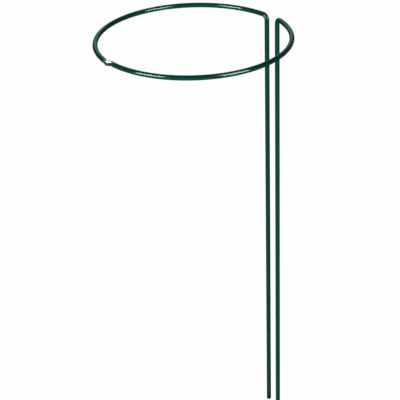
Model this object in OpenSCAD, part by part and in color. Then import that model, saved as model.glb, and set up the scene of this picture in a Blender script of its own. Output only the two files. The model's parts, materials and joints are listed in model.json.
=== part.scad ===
// Plant support ring stake. Two plastic-coated wire halves each run from a flat pierced eye
// round half the ring and down into a straight leg. One rivet joins the eyes, and the ring
// opens about it to go round a growing plant.
// The origin is midway between the two leg tips, the legs run along +Z and the rivet is at -Y.

/* [Ring] */
// Outer diameter of the ring
ring_outer_d = 250; // [160:1:400]
// Height of the top of the ring above the leg tips
stake_height = 610; // [300:5:1200]

/* [Wire] */
// Diameter of the bare steel wire
steel_d = 5.6; // [4:0.1:7]
// Thickness of the plastic coating over the steel
coating_t = 0.3; // [0.2:0.05:0.5]
// Centre-line radius of the bend from the ring down into a leg
bend_r = 7; // [6:0.5:20]
// Distance between the centre-lines of the two legs
leg_spacing = 22; // [14:0.5:40]
// Chamfer round the end of a leg
tip_chamfer = 0.8; // [0.4:0.1:1.5]

/* [Eyes] */
// Thickness of the flattened steel in an eye
eye_steel_t = 1.4; // [1:0.1:2]
// Diameter of an eye over its coating
eye_d = 11; // [9.5:0.5:16]
// Gap that one eye's rim keeps from the foot of the other half's ramp
eye_relief = 1.2; // [0.6:0.1:3]
// Slope of the pressed ramp between the round wire and the flat eye, in degrees
ramp_slope = 35; // [25:1:50]

/* [Rivet] */
// Diameter of the rivet's shank
shank_d = 5; // [3:0.1:5.5]
// Diameter of the domed head
head_d = 8.8; // [7:0.1:12]
// Height of the domed head
head_h = 3; // [1.5:0.1:3.5]
// Diameter of the tail that is formed under the lower eye
tail_d = 8; // [7:0.1:10]
// Height of the formed tail
tail_h = 1.6; // [1:0.1:3]

/* [Fits] */
// Radial clearance of the shank in an eye
pivot_clearance = 0.05; // [0.02:0.01:0.1]
// Gap between flat faces that turn on each other
face_gap = 0.1; // [0.05:0.05:0.3]

/* [Hidden] */
$fn = 96;

// Sides of the part, as signs along X
left = -1;
right = 1;

// How far a cut runs past the solid that it opens
overrun = 1;
// Half widths of the neck: at the rivet as a share of the eye's radius, at the wire of the wire's
neck_eye_share = 0.8;
neck_wire_share = 0.8;

coating_green = [0.06, 0.30, 0.27];
wire_grey = [0.55, 0.55, 0.57];
rivet_silver = [0.86, 0.86, 0.88];

wire_r = steel_d / 2 + coating_t;
ring_r = ring_outer_d / 2 - wire_r;
eye_r = eye_d / 2;
eye_t = eye_steel_t + 2 * coating_t;
shank_r = shank_d / 2;

// The right eye lies on the left one, so the left half sits one eye lower
right_z = stake_height - wire_r;
left_z = right_z - eye_t - face_gap;

// Angle at the ring's centre from a leg's bend to the plane between the legs
bend_angle = asin(leg_spacing / 2 / norm([ring_r, bend_r])) + atan(bend_r / ring_r);
ring_y = -ring_r * cos(bend_angle) - bend_r * sin(bend_angle);
rivet_y = ring_y - ring_r;
arc_angle = 180 - bend_angle;

// The ramp leaves the flat at its foot and meets the top of the round wire at its crest
ramp_foot = eye_r + eye_relief;
ramp_crest = ramp_foot + (wire_r - eye_t / 2) / tan(ramp_slope);
// The neck aims at the wire where the ramp ends, a little inside the straight line
neck_turn = asin(ramp_crest / ring_r) / 2;

head_z = right_z + eye_t / 2 + face_gap;
tail_z = left_z - eye_t / 2;

// The bend and the leg, seen from the bend's centre, with the ring's end above it
module bend_and_leg(level, inset) {
    radius = wire_r - inset;
    straight = level - bend_r - inset - tip_chamfer;
    rotate([90, 0, 0])
        rotate_extrude(angle = 90)
            translate([bend_r, 0]) circle(radius);
    translate([bend_r, 0, 0])
        rotate([180, 0, 0]) {
            cylinder(h = straight, r = radius);
            translate([0, 0, straight])
                cylinder(h = tip_chamfer, r1 = radius, r2 = radius - tip_chamfer);
        }
}

// Flat eye with its neck, seen from the rivet, with the wire leaving along +Y
module flat_eye(inset) {
    neck_eye_w = neck_eye_share * eye_r - inset;
    neck_wire_w = neck_wire_share * wire_r - inset;
    linear_extrude(eye_t - 2 * inset, center = true) {
        circle(eye_r - inset);
        rotate(neck_turn)
            polygon([
                [neck_eye_w, 0],
                [neck_wire_w, ramp_crest],
                [-neck_wire_w, ramp_crest],
                [-neck_eye_w, 0]
            ]);
    }
}

// What the press takes off above and below the end of the wire to leave a double ramp
module ramp_cut(inset) {
    edge = ramp_crest - wire_r / tan(ramp_slope) + inset / sin(ramp_slope);
    reach = wire_r + overrun;
    far = edge + reach / tan(ramp_slope);
    rotate([90, 0, 90])
        linear_extrude(2 * reach, center = true)
            polygon([
                [edge, 0],
                [far, reach],
                [-overrun, reach],
                [-overrun, -reach],
                [far, -reach]
            ]);
}

// Places a child at the rivet's end of the right half ring, with the wire leaving along +Y
module at_eye() {
    rotate([0, 0, -arc_angle])
        translate([ring_r, 0, 0])
            children();
}

// One half of the support, drawn in by the inset all over. The left half ring is the right
// one turned over, with the leg on its other face
module half_support(side, level, inset) {
    turn_over = side == right ? 0 : 180;
    translate([0, ring_y, level])
        rotate([0, turn_over, 0])
            rotate([0, 0, 90 - bend_angle]) {
                difference() {
                    rotate_extrude(angle = arc_angle, start = -arc_angle)
                        translate([ring_r, 0]) circle(wire_r - inset);
                    at_eye() ramp_cut(inset);
                }
                at_eye() flat_eye(inset);
                translate([ring_r, 0, -side * bend_r])
                    rotate([turn_over, 0, 90])
                        bend_and_leg(level, inset);
            }
}

// Hole for the rivet through the eye at one level
module pivot_hole(level) {
    translate([0, rivet_y, level])
        cylinder(h = eye_t + 2 * overrun, r = shank_r + pivot_clearance, center = true);
}

module wire_core(side, level) {
    difference() {
        half_support(side, level, coating_t);
        pivot_hole(level);
    }
}

module plastic_coating(side, level) {
    difference() {
        half_support(side, level, 0);
        half_support(side, level, coating_t);
        pivot_hole(level);
    }
}

module left_wire_core() {
    color(wire_grey) wire_core(left, left_z);
}

module left_plastic_coating() {
    color(coating_green) plastic_coating(left, left_z);
}

module right_wire_core() {
    color(wire_grey) wire_core(right, right_z);
}

module right_plastic_coating() {
    color(coating_green) plastic_coating(right, right_z);
}

// Half outline of a dome that stands on the X axis
module dome_outline(diameter, height) {
    dome_r = (diameter * diameter / 4 + height * height) / (2 * height);
    intersection() {
        translate([0, height - dome_r]) circle(dome_r);
        square([diameter, height]);
    }
}

module pivot_rivet() {
    color(rivet_silver)
        translate([0, rivet_y, 0])
            rotate_extrude() {
                translate([0, tail_z]) square([shank_r, head_z - tail_z]);
                translate([0, head_z]) dome_outline(head_d, head_h);
                translate([0, tail_z]) mirror([0, 1]) dome_outline(tail_d, tail_h);
            }
}

left_wire_core();
left_plastic_coating();
right_wire_core();
right_plastic_coating();
pivot_rivet();
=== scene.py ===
"""Looks of the plant support ring stake: coated wire halves, rivet, studio and camera."""

import json
import math

import bmesh
import bpy
from mathutils import Matrix, Vector


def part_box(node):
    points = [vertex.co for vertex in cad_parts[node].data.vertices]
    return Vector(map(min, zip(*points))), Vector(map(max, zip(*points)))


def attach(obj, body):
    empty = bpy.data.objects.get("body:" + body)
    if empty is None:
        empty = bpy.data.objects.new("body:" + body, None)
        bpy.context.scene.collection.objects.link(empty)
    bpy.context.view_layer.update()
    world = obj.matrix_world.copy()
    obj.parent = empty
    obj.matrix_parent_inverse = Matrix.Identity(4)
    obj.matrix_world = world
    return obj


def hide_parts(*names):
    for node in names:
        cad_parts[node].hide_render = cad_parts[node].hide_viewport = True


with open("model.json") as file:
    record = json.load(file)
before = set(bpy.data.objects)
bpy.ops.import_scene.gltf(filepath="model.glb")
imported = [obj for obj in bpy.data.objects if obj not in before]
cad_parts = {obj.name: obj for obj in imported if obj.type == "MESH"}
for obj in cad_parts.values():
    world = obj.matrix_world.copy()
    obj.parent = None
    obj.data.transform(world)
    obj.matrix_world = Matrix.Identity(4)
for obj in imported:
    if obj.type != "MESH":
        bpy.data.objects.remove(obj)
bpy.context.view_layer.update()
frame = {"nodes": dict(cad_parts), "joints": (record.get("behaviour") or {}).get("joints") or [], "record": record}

UP = Vector((0, 0, 1))
MM = 0.001

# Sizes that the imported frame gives, in metres
mounts = {mount["name"]: mount for mount in frame["record"]["mounts"]}
pivot = Vector(frame["joints"][0]["pos_m"])
leg_x = mounts["right_leg"]["pos_m"][0]
wire_r = mounts["right_leg"]["dims"]["r_mm"] * MM
ring_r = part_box("right_plastic_coating")[1].x - wire_r
level = {
    "left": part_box("left_plastic_coating")[1].z - wire_r,
    "right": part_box("right_plastic_coating")[1].z - wire_r,
}
rivet_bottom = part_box("pivot_rivet")[0].z
rivet_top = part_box("pivot_rivet")[1].z

# Bend and tip of a leg, with the height of the painted shade at the tip, in metres
BEND_R = 7 * MM
TIP_ROUND = 0.8 * MM
TIP_SHADE_HEIGHT = 3 * MM

# Pressed end of a wire: a flat eye, a neck and a ramp up to the round wire, lengths in metres
EYE_R = 5.5 * MM
EYE_T = 2 * MM
HOLE_R = 2.55 * MM
EYE_RELIEF = 1.2 * MM
RAMP_SLOPE = math.radians(35)
NECK_EYE_SHARE = 0.8
# The neck starts inside the eye and lies a hair below its faces, so that the two join cleanly
NECK_START = 3.4 * MM
NECK_SINK = 0.02 * MM

# Whitening of the ramps, which also paints a highlight on them: its fade in metres, and how far a face's normal
# points up or down
WHITE_GLINT_FADE = {"left": 0.5 * MM, "right": 3 * MM}
WHITE_GLINT_TILT_START = 0.5
WHITE_GLINT_TILT_FULL = 0.75

# Sizes of the rivet, in metres
SHANK_R = 2.5 * MM
HEAD_R = 4.4 * MM
HEAD_H = 3 * MM
TAIL_R = 4 * MM
TAIL_H = 1.6 * MM
RIM_ROUND = 0.25 * MM
DIMPLE_R = 1.2 * MM
DIMPLE_DEPTH = 0.35 * MM

# Steps of the meshes, lengths in metres, and the angle of an edge that stays sharp, in degrees
WIRE_SIDES = 48
LATHE_SIDES = 96
FLOOR_SIDES = 96
ROUND_STEPS = 8
DOME_STEPS = 24
NECK_STEP = 0.2 * MM
ARC_STEP = 1.2 * MM
BEND_STEP = 0.4 * MM
LEG_STEP = 12 * MM
MERGE_DISTANCE = 0.0001 * MM
SHARP_ANGLE = 40

# Part of a noise's values that is spread over the range that a material needs
NOISE_LOW = 0.3
NOISE_HIGH = 0.7

# Camera as fitted to the photo: angles in degrees, distance in metres, lens and sensor in mm
CAMERA_AZIMUTH = 56.63
CAMERA_ELEVATION = 21.98
CAMERA_DISTANCE = 1.7797
LOOK_AZIMUTH = 56.56
LOOK_PITCH = 28.41
LOOK_ROLL = 1.79
LENS = 128.47
SENSOR_WIDTH = 36

# Distance of the lamps and panels from the ring, and the floor, lengths in metres
STUDIO_R = 1.6
FLOOR_R = 12
FLOOR_DROP = 0.2 * MM
FLOOR_WHITE_SHARE = 0.97
FLOOR_BOUNCE = 0.8

# Walls and ceiling: heights as the sine of the elevation, brightness, and a turn in degrees
WALL_TOP = 0.1
WALL_BRIGHTNESS = 1
CEILING_START = 0.35
CEILING_BRIGHTNESS = 0.12
BACK_WALL_RISE = 0.3
BACK_WALL_TURN = 20

# Lengths along a half's centre-line, from the rivet outwards
ramp_foot = EYE_R + EYE_RELIEF
ramp_crest = ramp_foot + (wire_r - EYE_T / 2) / math.tan(RAMP_SLOPE)
bend_angle = math.asin(leg_x / math.hypot(ring_r, BEND_R)) + math.atan(BEND_R / ring_r)
arc_length = ring_r * (math.pi - bend_angle)
bend_length = BEND_R * math.pi / 2
ring_middle = Vector((0, pivot.y + ring_r, (level["left"] + level["right"]) / 2))


def mix(low, high, share):
    """Value that lies a share of the way from low to high."""
    return low + (high - low) * share


def smooth_step(low, high, value):
    """0 below low, 1 above high, and a smooth rise between them."""
    share = min(max((value - low) / (high - low), 0), 1)
    return share * share * (3 - 2 * share)


def spaced(start, end, step):
    """Values from start up to but not including end, in equal steps of about one step."""
    count = max(round((end - start) / step), 1)
    return [mix(start, end, i / count) for i in range(count)]


def mesh_object(name, mesh):
    """Object of a mesh, in the scene."""
    made = bpy.data.objects.new(name, mesh)
    bpy.context.scene.collection.objects.link(made)
    return made


def mesh_of(made, name):
    """Mesh of a bmesh, which is freed."""
    mesh = bpy.data.meshes.new(name)
    made.to_mesh(mesh)
    made.free()
    return mesh


def shade_smooth(mesh):
    """Shades a mesh smooth, apart from its sharp edges."""
    mesh.polygons.foreach_set("use_smooth", [True] * len(mesh.polygons))
    mesh.set_sharp_from_angle(angle=math.radians(SHARP_ANGLE))


def skin_rings(rings):
    """Closed mesh over a row of equal rings of points, capped at both ends."""
    made = bmesh.new()
    rows = [[made.verts.new(point) for point in ring] for ring in rings]
    for row, following in zip(rows, rows[1:]):
        for i in range(len(row)):
            j = (i + 1) % len(row)
            made.faces.new((row[i], row[j], following[j], following[i]))
    made.faces.new(rows[0])
    made.faces.new(rows[-1])
    bmesh.ops.recalc_face_normals(made, faces=made.faces)
    return mesh_of(made, "rings")


def lathe(outline, centre):
    """Closed mesh from an outline of (radius, height) points turned about a vertical line."""
    made = bmesh.new()
    columns = []
    for i in range(LATHE_SIDES):
        turn = 2 * math.pi * i / LATHE_SIDES
        out = Vector((math.cos(turn), math.sin(turn), 0))
        columns.append([made.verts.new(centre + out * r + UP * z) for r, z in outline])
    for i, column in enumerate(columns):
        following = columns[(i + 1) % LATHE_SIDES]
        for j in range(len(outline)):
            k = (j + 1) % len(outline)
            made.faces.new((column[j], following[j], following[k], column[k]))
    bmesh.ops.remove_doubles(made, verts=made.verts, dist=MERGE_DISTANCE)
    bmesh.ops.recalc_face_normals(made, faces=made.faces)
    return mesh_of(made, "lathe")


def arc_points(centre, radius, start, end, steps):
    """Points of (radius, height) along an arc, with its angles in degrees."""
    angles = [math.radians(mix(start, end, i / steps)) for i in range(steps + 1)]
    return [(centre[0] + radius * math.cos(a), centre[1] + radius * math.sin(a)) for a in angles]


def station(side, distance):
    """Point, outward and upward directions at a distance along a half's centre-line."""
    turn = min(distance, arc_length) / ring_r
    out = Vector((math.sin(turn), -math.cos(turn), 0))
    along = Vector((math.cos(turn), math.sin(turn), 0))
    bend = min(max(distance - arc_length, 0) / BEND_R, math.pi / 2)
    drop = max(distance - arc_length - bend_length, 0)
    up = along * math.sin(bend) + UP * math.cos(bend)
    forward = along * math.cos(bend) - UP * math.sin(bend)
    centre = Vector((0, ring_middle.y, level[side]))
    return centre + out * ring_r + (up - UP) * BEND_R + forward * drop, out, up


def ring_at(side, distance, half_w, half_h):
    """Ring of points across the wire: a circle, or a flat bar with round edges."""
    point, out, up = station(side, distance)
    flip = Vector((-1 if side == "left" else 1, 1, 1))
    ring = []
    for i in range(WIRE_SIDES):
        turn = 2 * math.pi * (i + 0.5) / WIRE_SIDES
        across = half_h * math.cos(turn) + math.copysign(half_w - half_h, math.cos(turn))
        ring.append((point + out * across + up * half_h * math.sin(turn)) * flip)
    return ring


def half_width(distance):
    """Half width of the wire: wide where it was pressed flat, then the wire's radius."""
    return mix(NECK_EYE_SHARE * EYE_R, wire_r, min(distance / ramp_crest, 1))


def half_height(distance):
    """Half height of the wire: the flat eye, the pressed ramp, then the wire's radius."""
    climb = max(distance - ramp_foot, 0) * math.tan(RAMP_SLOPE)
    return min(EYE_T / 2 - NECK_SINK + climb, wire_r)


def wire_mesh(side):
    """The wire from under the rivet, round the ring, down the bend and the leg to its tip."""
    leg_start = arc_length + bend_length
    end = leg_start + level[side] - BEND_R
    distances = spaced(NECK_START, ramp_crest, NECK_STEP)
    distances += spaced(ramp_crest, arc_length, ARC_STEP)
    distances += spaced(arc_length, leg_start, BEND_STEP)
    distances += spaced(leg_start, end - TIP_ROUND, LEG_STEP)
    rings = [ring_at(side, d, half_width(d), half_height(d)) for d in distances]
    for inset, ahead in arc_points((0, 0), TIP_ROUND, 0, 90, ROUND_STEPS):
        radius = wire_r - TIP_ROUND + inset
        rings.append(ring_at(side, end - TIP_ROUND + ahead, radius, radius))
    return skin_rings(rings)


def eye_mesh(side):
    """The pierced eye: a flat washer with a round edge."""
    edge = EYE_T / 2
    outline = [(HOLE_R, -edge)]
    outline += arc_points((EYE_R - edge, 0), edge, -90, 90, 2 * ROUND_STEPS)
    outline += [(HOLE_R, edge)]
    return lathe(outline, Vector((pivot.x, pivot.y, level[side])))


def joined(first, second):
    """Mesh of two meshes joined into one closed body."""
    kept = mesh_object("kept", first)
    added = mesh_object("added", second)
    union = kept.modifiers.new("union", "BOOLEAN")
    union.operation = "UNION"
    union.solver = "EXACT"
    union.object = added
    depsgraph = bpy.context.evaluated_depsgraph_get()
    mesh = bpy.data.meshes.new_from_object(kept.evaluated_get(depsgraph))
    bpy.data.objects.remove(kept)
    bpy.data.objects.remove(added)
    return mesh


def mark(mesh, name, measure):
    """Stores a value from 0 to 1 at each point of a mesh, for its material."""
    stored = mesh.attributes.new(name, "FLOAT", "POINT")
    stored.data.foreach_set("value", [measure(vertex) for vertex in mesh.vertices])


def pressed_glint_share(vertex):
    """1 on the faces that the press squeezed into ramps, where the whitening and its painted highlight go, and 0
    elsewhere.
    """
    from_pivot = math.hypot(vertex.co.x - pivot.x, vertex.co.y - pivot.y)
    fade = WHITE_GLINT_FADE["left" if vertex.co.x < pivot.x else "right"]
    past_foot = smooth_step(ramp_foot - fade, ramp_foot, from_pivot)
    past_crest = smooth_step(ramp_crest - fade, ramp_crest + fade, from_pivot)
    tilt = smooth_step(WHITE_GLINT_TILT_START, WHITE_GLINT_TILT_FULL, abs(vertex.normal.z))
    return (past_foot - past_crest) * tilt


def tip_shade_share(vertex):
    """1 where shade is painted at the tip of a leg, and 0 above it."""
    return 1 - smooth_step(TIP_SHADE_HEIGHT / 2, TIP_SHADE_HEIGHT, vertex.co.z)


def coated_half(side):
    """One plastic-coated half of the support, from its eye to the tip of its leg."""
    mesh = joined(wire_mesh(side), eye_mesh(side))
    # Masks for the pressed ramps' whitening, partly a painted highlight, and for the painted shade at the tips of
    # the legs
    mark(mesh, "pressed", pressed_glint_share)
    mark(mesh, "tip", tip_shade_share)
    shade_smooth(mesh)
    half = mesh_object(side + "_coating", mesh)
    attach(half, side + "_half")
    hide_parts(side + "_plastic_coating")
    return half


def dome(radius, height):
    """Outline of a dome that stands at height 0, from its rounded rim to its top."""
    ball = (radius * radius + height * height) / (2 * height)
    rim = math.degrees(math.asin(1 - height / ball))
    points = arc_points((radius - RIM_ROUND, RIM_ROUND), RIM_ROUND, -90, rim, ROUND_STEPS)
    reach = math.degrees(math.acos(points[-1][0] / ball))
    return points + arc_points((0, height - ball), ball, reach, 90, DOME_STEPS)[1:]


def rivet_piece():
    """Round-head rivet: domed head, shank, and a tail that a tool set with a dimple."""
    head = rivet_top - HEAD_H
    tail = rivet_bottom + TAIL_H
    outline = [(SHANK_R, tail), (SHANK_R, head)]
    outline += [(r, head + z) for r, z in dome(HEAD_R, HEAD_H)]
    lower = []
    for r, z in dome(TAIL_R, TAIL_H):
        lower.append((r, tail - z + DIMPLE_DEPTH * (1 - smooth_step(0, DIMPLE_R, r))))
    outline += reversed(lower)
    mesh = lathe(outline, Vector((pivot.x, pivot.y, 0)))
    shade_smooth(mesh)
    rivet = mesh_object("rivet", mesh)
    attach(rivet, "left_half")
    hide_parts("pivot_rivet")
    return rivet


def linear(red, green, blue):
    """Scene colour of a screen colour given from 0 to 255, by the sRGB formula."""
    def channel(value):
        share = value / 255
        return share / 12.92 if share <= 0.04045 else ((share + 0.055) / 1.055) ** 2.4
    return channel(red), channel(green), channel(blue), 1


class Nodes:
    """Node tree of a material or a world, with short ways to add and link nodes."""

    def __init__(self, owner):
        owner.use_nodes = True
        self.tree = owner.node_tree

    def put(self, socket, value):
        """Gives an input a fixed value, or links it to another node's output."""
        if isinstance(value, bpy.types.NodeSocket):
            self.tree.links.new(value, socket)
        else:
            socket.default_value = value

    def fill(self, node, **inputs):
        """Fills a node's inputs by their names, with underscores for spaces."""
        for name, value in inputs.items():
            self.put(node.inputs[name.replace("_", " ")], value)

    def add(self, kind, **inputs):
        """New node of a kind, with some of its inputs filled."""
        node = self.tree.nodes.new(kind)
        self.fill(node, **inputs)
        return node

    def combined(self, operation, first, second):
        """Result of a math operation on two values."""
        node = self.add("ShaderNodeMath")
        node.operation = operation
        self.put(node.inputs[0], first)
        self.put(node.inputs[1], second)
        return node.outputs["Value"]

    def moved(self, value, start, end, low, high, curve="LINEAR"):
        """A value moved from the range of start to end, where it goes from low to high."""
        node = self.add("ShaderNodeMapRange", Value=value)
        self.fill(node, From_Min=start, From_Max=end, To_Min=low, To_Max=high)
        node.interpolation_type = curve
        return node.outputs["Result"]


class Shader(Nodes):
    """A material of the object, made round its main shader."""

    def __init__(self, name):
        self.material = bpy.data.materials.new(name)
        super().__init__(self.material)
        self.main = self.tree.nodes["Principled BSDF"]

    def noise(self, scale, detail, stretch=(1, 1, 1)):
        """Noise from 0 to 1, with its scale per metre."""
        place = self.add("ShaderNodeTexCoord").outputs["Object"]
        sized = self.add("ShaderNodeMapping", Vector=place, Scale=stretch).outputs["Vector"]
        return self.add("ShaderNodeTexNoise", Vector=sized, Scale=scale, Detail=detail).outputs["Fac"]

    def spread(self, noise, low, high):
        """A noise spread over the range of low to high."""
        return self.moved(noise, NOISE_LOW, NOISE_HIGH, low, high)

    def stored(self, name):
        """Value that the mesh stores at its points."""
        node = self.add("ShaderNodeAttribute")
        node.attribute_name = name
        return node.outputs["Fac"]

    def blend(self, share, first, second):
        """Colour between two colours, each a fixed colour or another node's."""
        node = self.add("ShaderNodeMix")
        node.data_type = "RGBA"
        self.put(node.inputs["Factor"], share)
        for name, colour in (("A", first), ("B", second)):
            socket = [s for s in node.inputs if s.name == name and s.type == "RGBA"][0]
            self.put(socket, colour)
        return [s for s in node.outputs if s.type == "RGBA"][0]

    def bump(self, height, strength, depth):
        """Normal of a surface that a noise raises by up to a depth."""
        node = self.add("ShaderNodeBump", Height=height, Strength=strength, Distance=depth)
        return node.outputs["Normal"]

    def set(self, **inputs):
        """Fills inputs of the main shader."""
        self.fill(self.main, **inputs)


def coating_material():
    """Glossy blue-green dipped plastic, paler where it was pressed, partly as a painted highlight, and with
    painted shade at the tips.
    """
    deep_green = linear(4, 86, 74)
    pale_green = linear(8, 99, 85)
    # Pressed white is partly the whitening of squeezed plastic and partly a painted highlight on the ramps
    pressed_white_and_glint = linear(242, 238, 236)
    # Painted shade for the last few millimetres of each leg
    painted_tip_shade = linear(2, 14, 12)
    shader = Shader("green_coating")
    mottling = shader.spread(shader.noise(scale=70, detail=3), low=0, high=1)
    colour = shader.blend(mottling, deep_green, pale_green)
    patches = shader.spread(shader.noise(scale=900, detail=4), low=0.5, high=0.95)
    # Whitens the ramps: partly real whitening, partly a painted highlight
    whitening_and_glint = shader.combined("MULTIPLY", shader.stored("pressed"), patches)
    colour = shader.blend(whitening_and_glint, colour, pressed_white_and_glint)
    # Painted shade: darkens the tips of the legs
    colour = shader.blend(shader.stored("tip"), colour, painted_tip_shade)
    shader.set(Base_Color=colour)
    shader.set(Roughness=shader.spread(shader.noise(scale=600, detail=3), low=0.09, high=0.13))
    orange_peel = shader.noise(scale=250, detail=2)
    shader.set(Normal=shader.bump(orange_peel, strength=0.05, depth=0.05 * MM))
    shader.set(Specular_IOR_Level=0.28, Specular_Tint=(0.75, 1, 0.98, 1))
    # This coat has no gloss of its own, and takes away more light at flatter angles
    shader.set(Coat_Weight=1, Coat_IOR=1, Coat_Tint=(0.37, 0.48, 0.475, 1))
    return shader.material


def rivet_material():
    """Plated steel with a satin finish and fine rub marks."""
    dark_plating = linear(160, 159, 163)
    pale_plating = linear(184, 184, 187)
    shader = Shader("rivet_metal")
    tone = shader.spread(shader.noise(scale=700, detail=4), low=0, high=1)
    marks = shader.noise(scale=900, detail=3, stretch=(1, 3, 1))
    shader.set(Base_Color=shader.blend(tone, dark_plating, pale_plating))
    shader.set(Roughness=shader.spread(marks, low=0.37, high=0.44))
    shader.set(Normal=shader.bump(marks, strength=0.08, depth=0.02 * MM))
    shader.set(Metallic=1)
    return shader.material


def steel_material():
    """Drawn mild steel wire: grey, with marks from the die."""
    dark_steel = linear(150, 150, 152)
    pale_steel = linear(196, 196, 198)
    shader = Shader("steel_wire")
    drawn = shader.noise(scale=1200, detail=4, stretch=(1, 1, 0.05))
    tone = shader.spread(drawn, low=0, high=1)
    shader.set(Base_Color=shader.blend(tone, dark_steel, pale_steel))
    shader.set(Roughness=shader.spread(drawn, low=0.3, high=0.5))
    shader.set(Normal=shader.bump(drawn, strength=0.2, depth=0.03 * MM))
    shader.set(Metallic=1)
    return shader.material


def dress(piece, material):
    """Gives a piece one material all over."""
    piece.data.materials.clear()
    piece.data.materials.append(material)


def from_ring(azimuth, elevation, distance):
    """Point at a distance from the ring's middle; azimuth 0 is out along -Y."""
    turn = math.radians(azimuth)
    rise = math.radians(elevation)
    flat = Vector((math.sin(turn), -math.cos(turn), 0))
    return ring_middle + (flat * math.cos(rise) + UP * math.sin(rise)) * distance


def add_camera():
    """Camera at the photo's view."""
    look = math.radians(LOOK_AZIMUTH)
    pitch = math.radians(LOOK_PITCH)
    flat = Vector((-math.sin(look), math.cos(look), 0))
    forward = flat * math.cos(pitch) - UP * math.sin(pitch)
    level_right = forward.cross(UP).normalized()
    right = Matrix.Rotation(math.radians(LOOK_ROLL), 3, forward) @ level_right
    turned = Matrix((right, right.cross(forward), -forward)).transposed()
    camera = bpy.data.objects.new("camera", bpy.data.cameras.new("camera"))
    camera.data.lens = LENS
    camera.data.sensor_width = SENSOR_WIDTH
    spot = from_ring(CAMERA_AZIMUTH, CAMERA_ELEVATION, CAMERA_DISTANCE)
    camera.matrix_world = Matrix.Translation(spot) @ turned.to_4x4()
    bpy.context.scene.collection.objects.link(camera)
    bpy.context.scene.camera = camera


def face_ring(thing, azimuth, elevation):
    """Places a thing round the ring and turns it to face the ring; azimuth 0 is the camera's."""
    thing.location = from_ring(CAMERA_AZIMUTH + azimuth, elevation, STUDIO_R)
    thing.rotation_euler = (ring_middle - thing.location).to_track_quat("-Z", "Y").to_euler()


def add_softbox(name, azimuth, elevation, width, height, watts):
    """Lamp with a soft light, which no reflection shows."""
    lamp = bpy.data.lights.new(name, "AREA")
    lamp.shape = "RECTANGLE"
    lamp.size = width
    lamp.size_y = height
    lamp.energy = watts
    box = bpy.data.objects.new(name, lamp)
    box.visible_camera = False
    box.visible_glossy = False
    face_ring(box, azimuth, elevation)
    bpy.context.scene.collection.objects.link(box)


def bare_material(name):
    """Material with no shader yet, its nodes, and the input that takes a shader."""
    material = bpy.data.materials.new(name)
    nodes = Nodes(material)
    nodes.tree.nodes.remove(nodes.tree.nodes["Principled BSDF"])
    return material, nodes, nodes.tree.nodes["Material Output"].inputs["Surface"]


def glow_material(name, strength):
    """White glow, which the renderer doesn't sample as a lamp."""
    material, nodes, surface = bare_material(name)
    material.cycles.emission_sampling = "NONE"
    glow = nodes.add("ShaderNodeEmission", Strength=strength)
    nodes.put(surface, glow.outputs["Emission"])
    return material


def add_highlight(name, azimuth, elevation, width, height, strength):
    """Glowing panel that only reflections show: the light streaks on the wire."""
    mesh = bpy.data.meshes.new(name)
    x = width / 2
    y = height / 2
    mesh.from_pydata([(-x, -y, 0), (x, -y, 0), (x, y, 0), (-x, y, 0)], [], [(0, 1, 2, 3)])
    panel = mesh_object(name, mesh)
    panel.visible_camera = False
    panel.visible_diffuse = False
    panel.visible_shadow = False
    face_ring(panel, azimuth, elevation)
    dress(panel, glow_material(name, strength))


def seen_directly(nodes):
    """1 for rays from the camera, from mirrors and through glass, and 0 for light."""
    path = nodes.add("ShaderNodeLightPath")
    seen = path.outputs["Is Camera Ray"]
    for name in ("Is Glossy Ray", "Is Transmission Ray"):
        seen = nodes.combined("MAXIMUM", seen, path.outputs[name])
    return seen


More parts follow.
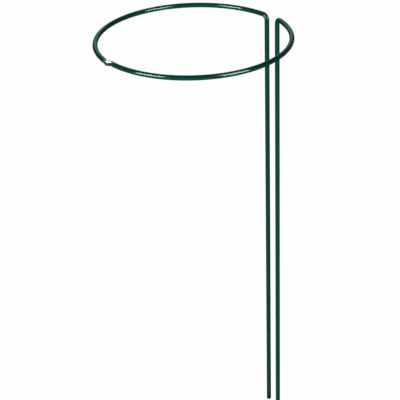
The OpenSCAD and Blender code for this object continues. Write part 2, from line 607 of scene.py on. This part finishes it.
def add_world():
    """Studio room: low white walls, a higher one behind the object, and a dim ceiling."""
    world = bpy.data.worlds.new("studio")
    nodes = Nodes(world)
    ray = nodes.add("ShaderNodeTexCoord").outputs["Generated"]
    height = nodes.add("ShaderNodeSeparateXYZ", Vector=ray).outputs["Z"]
    look = math.radians(LOOK_AZIMUTH + BACK_WALL_TURN)
    behind = nodes.add("ShaderNodeVectorMath")
    behind.operation = "DOT_PRODUCT"
    nodes.put(behind.inputs[0], ray)
    nodes.put(behind.inputs[1], (-math.sin(look), math.cos(look), 0))
    facing = behind.outputs["Value"]
    lowered = nodes.moved(facing, start=0, end=1, low=0, high=-BACK_WALL_RISE)
    brightness = nodes.moved(
        nodes.combined("ADD", height, lowered),
        start=WALL_TOP,
        end=CEILING_START,
        low=WALL_BRIGHTNESS,
        high=CEILING_BRIGHTNESS,
        curve="SMOOTHSTEP",
    )
    nodes.fill(nodes.tree.nodes["Background"], Color=(1, 1, 1, 1), Strength=brightness)
    bpy.context.scene.world = world


def floor_material():
    """White paper floor: it glows nearly white where it is seen, and keeps the object's shadow."""
    material, nodes, surface = bare_material("floor_white")
    paper = nodes.add("ShaderNodeBsdfDiffuse", Color=(FLOOR_BOUNCE, FLOOR_BOUNCE, FLOOR_BOUNCE, 1))
    glow = nodes.add("ShaderNodeEmission")
    share = nodes.moved(seen_directly(nodes), start=0, end=1, low=0, high=FLOOR_WHITE_SHARE)
    mixed = nodes.add("ShaderNodeMixShader")
    nodes.put(mixed.inputs[0], share)
    nodes.put(mixed.inputs[1], paper.outputs["BSDF"])
    nodes.put(mixed.inputs[2], glow.outputs["Emission"])
    nodes.put(surface, mixed.outputs["Shader"])
    return material


def add_floor():
    """Round floor, a hair below the tips of the legs."""
    made = bmesh.new()
    bmesh.ops.create_circle(made, cap_ends=True, segments=FLOOR_SIDES, radius=FLOOR_R)
    floor = mesh_object("floor", mesh_of(made, "floor"))
    floor.location.z = -FLOOR_DROP
    dress(floor, floor_material())


# The object
coating = coating_material()
for side in ("left", "right"):
    dress(coated_half(side), coating)
dress(rivet_piece(), rivet_material())
steel = steel_material()
for side in ("left", "right"):
    dress(frame["nodes"][side + "_wire_core"], steel)

# The studio: a white floor in a pale room, soft lamps, and panels that only reflections show
add_camera()
add_world()
add_floor()
add_softbox("soft_left", azimuth=-30, elevation=-10, width=0.6, height=0.5, watts=15)
add_softbox("soft_right", azimuth=33, elevation=-10, width=0.6, height=0.5, watts=8)
add_softbox("soft_back", azimuth=-150, elevation=50, width=0.6, height=0.6, watts=30)
add_highlight("highlight_right", azimuth=45.5, elevation=20, width=0.84, height=1.3, strength=54)
add_highlight("highlight_left", azimuth=-50, elevation=20, width=0.84, height=1.3, strength=58)
add_highlight("highlight_back", azimuth=-177, elevation=20, width=1.4, height=1.0, strength=6.5)
bpy.context.scene.view_settings.view_transform = "Standard"
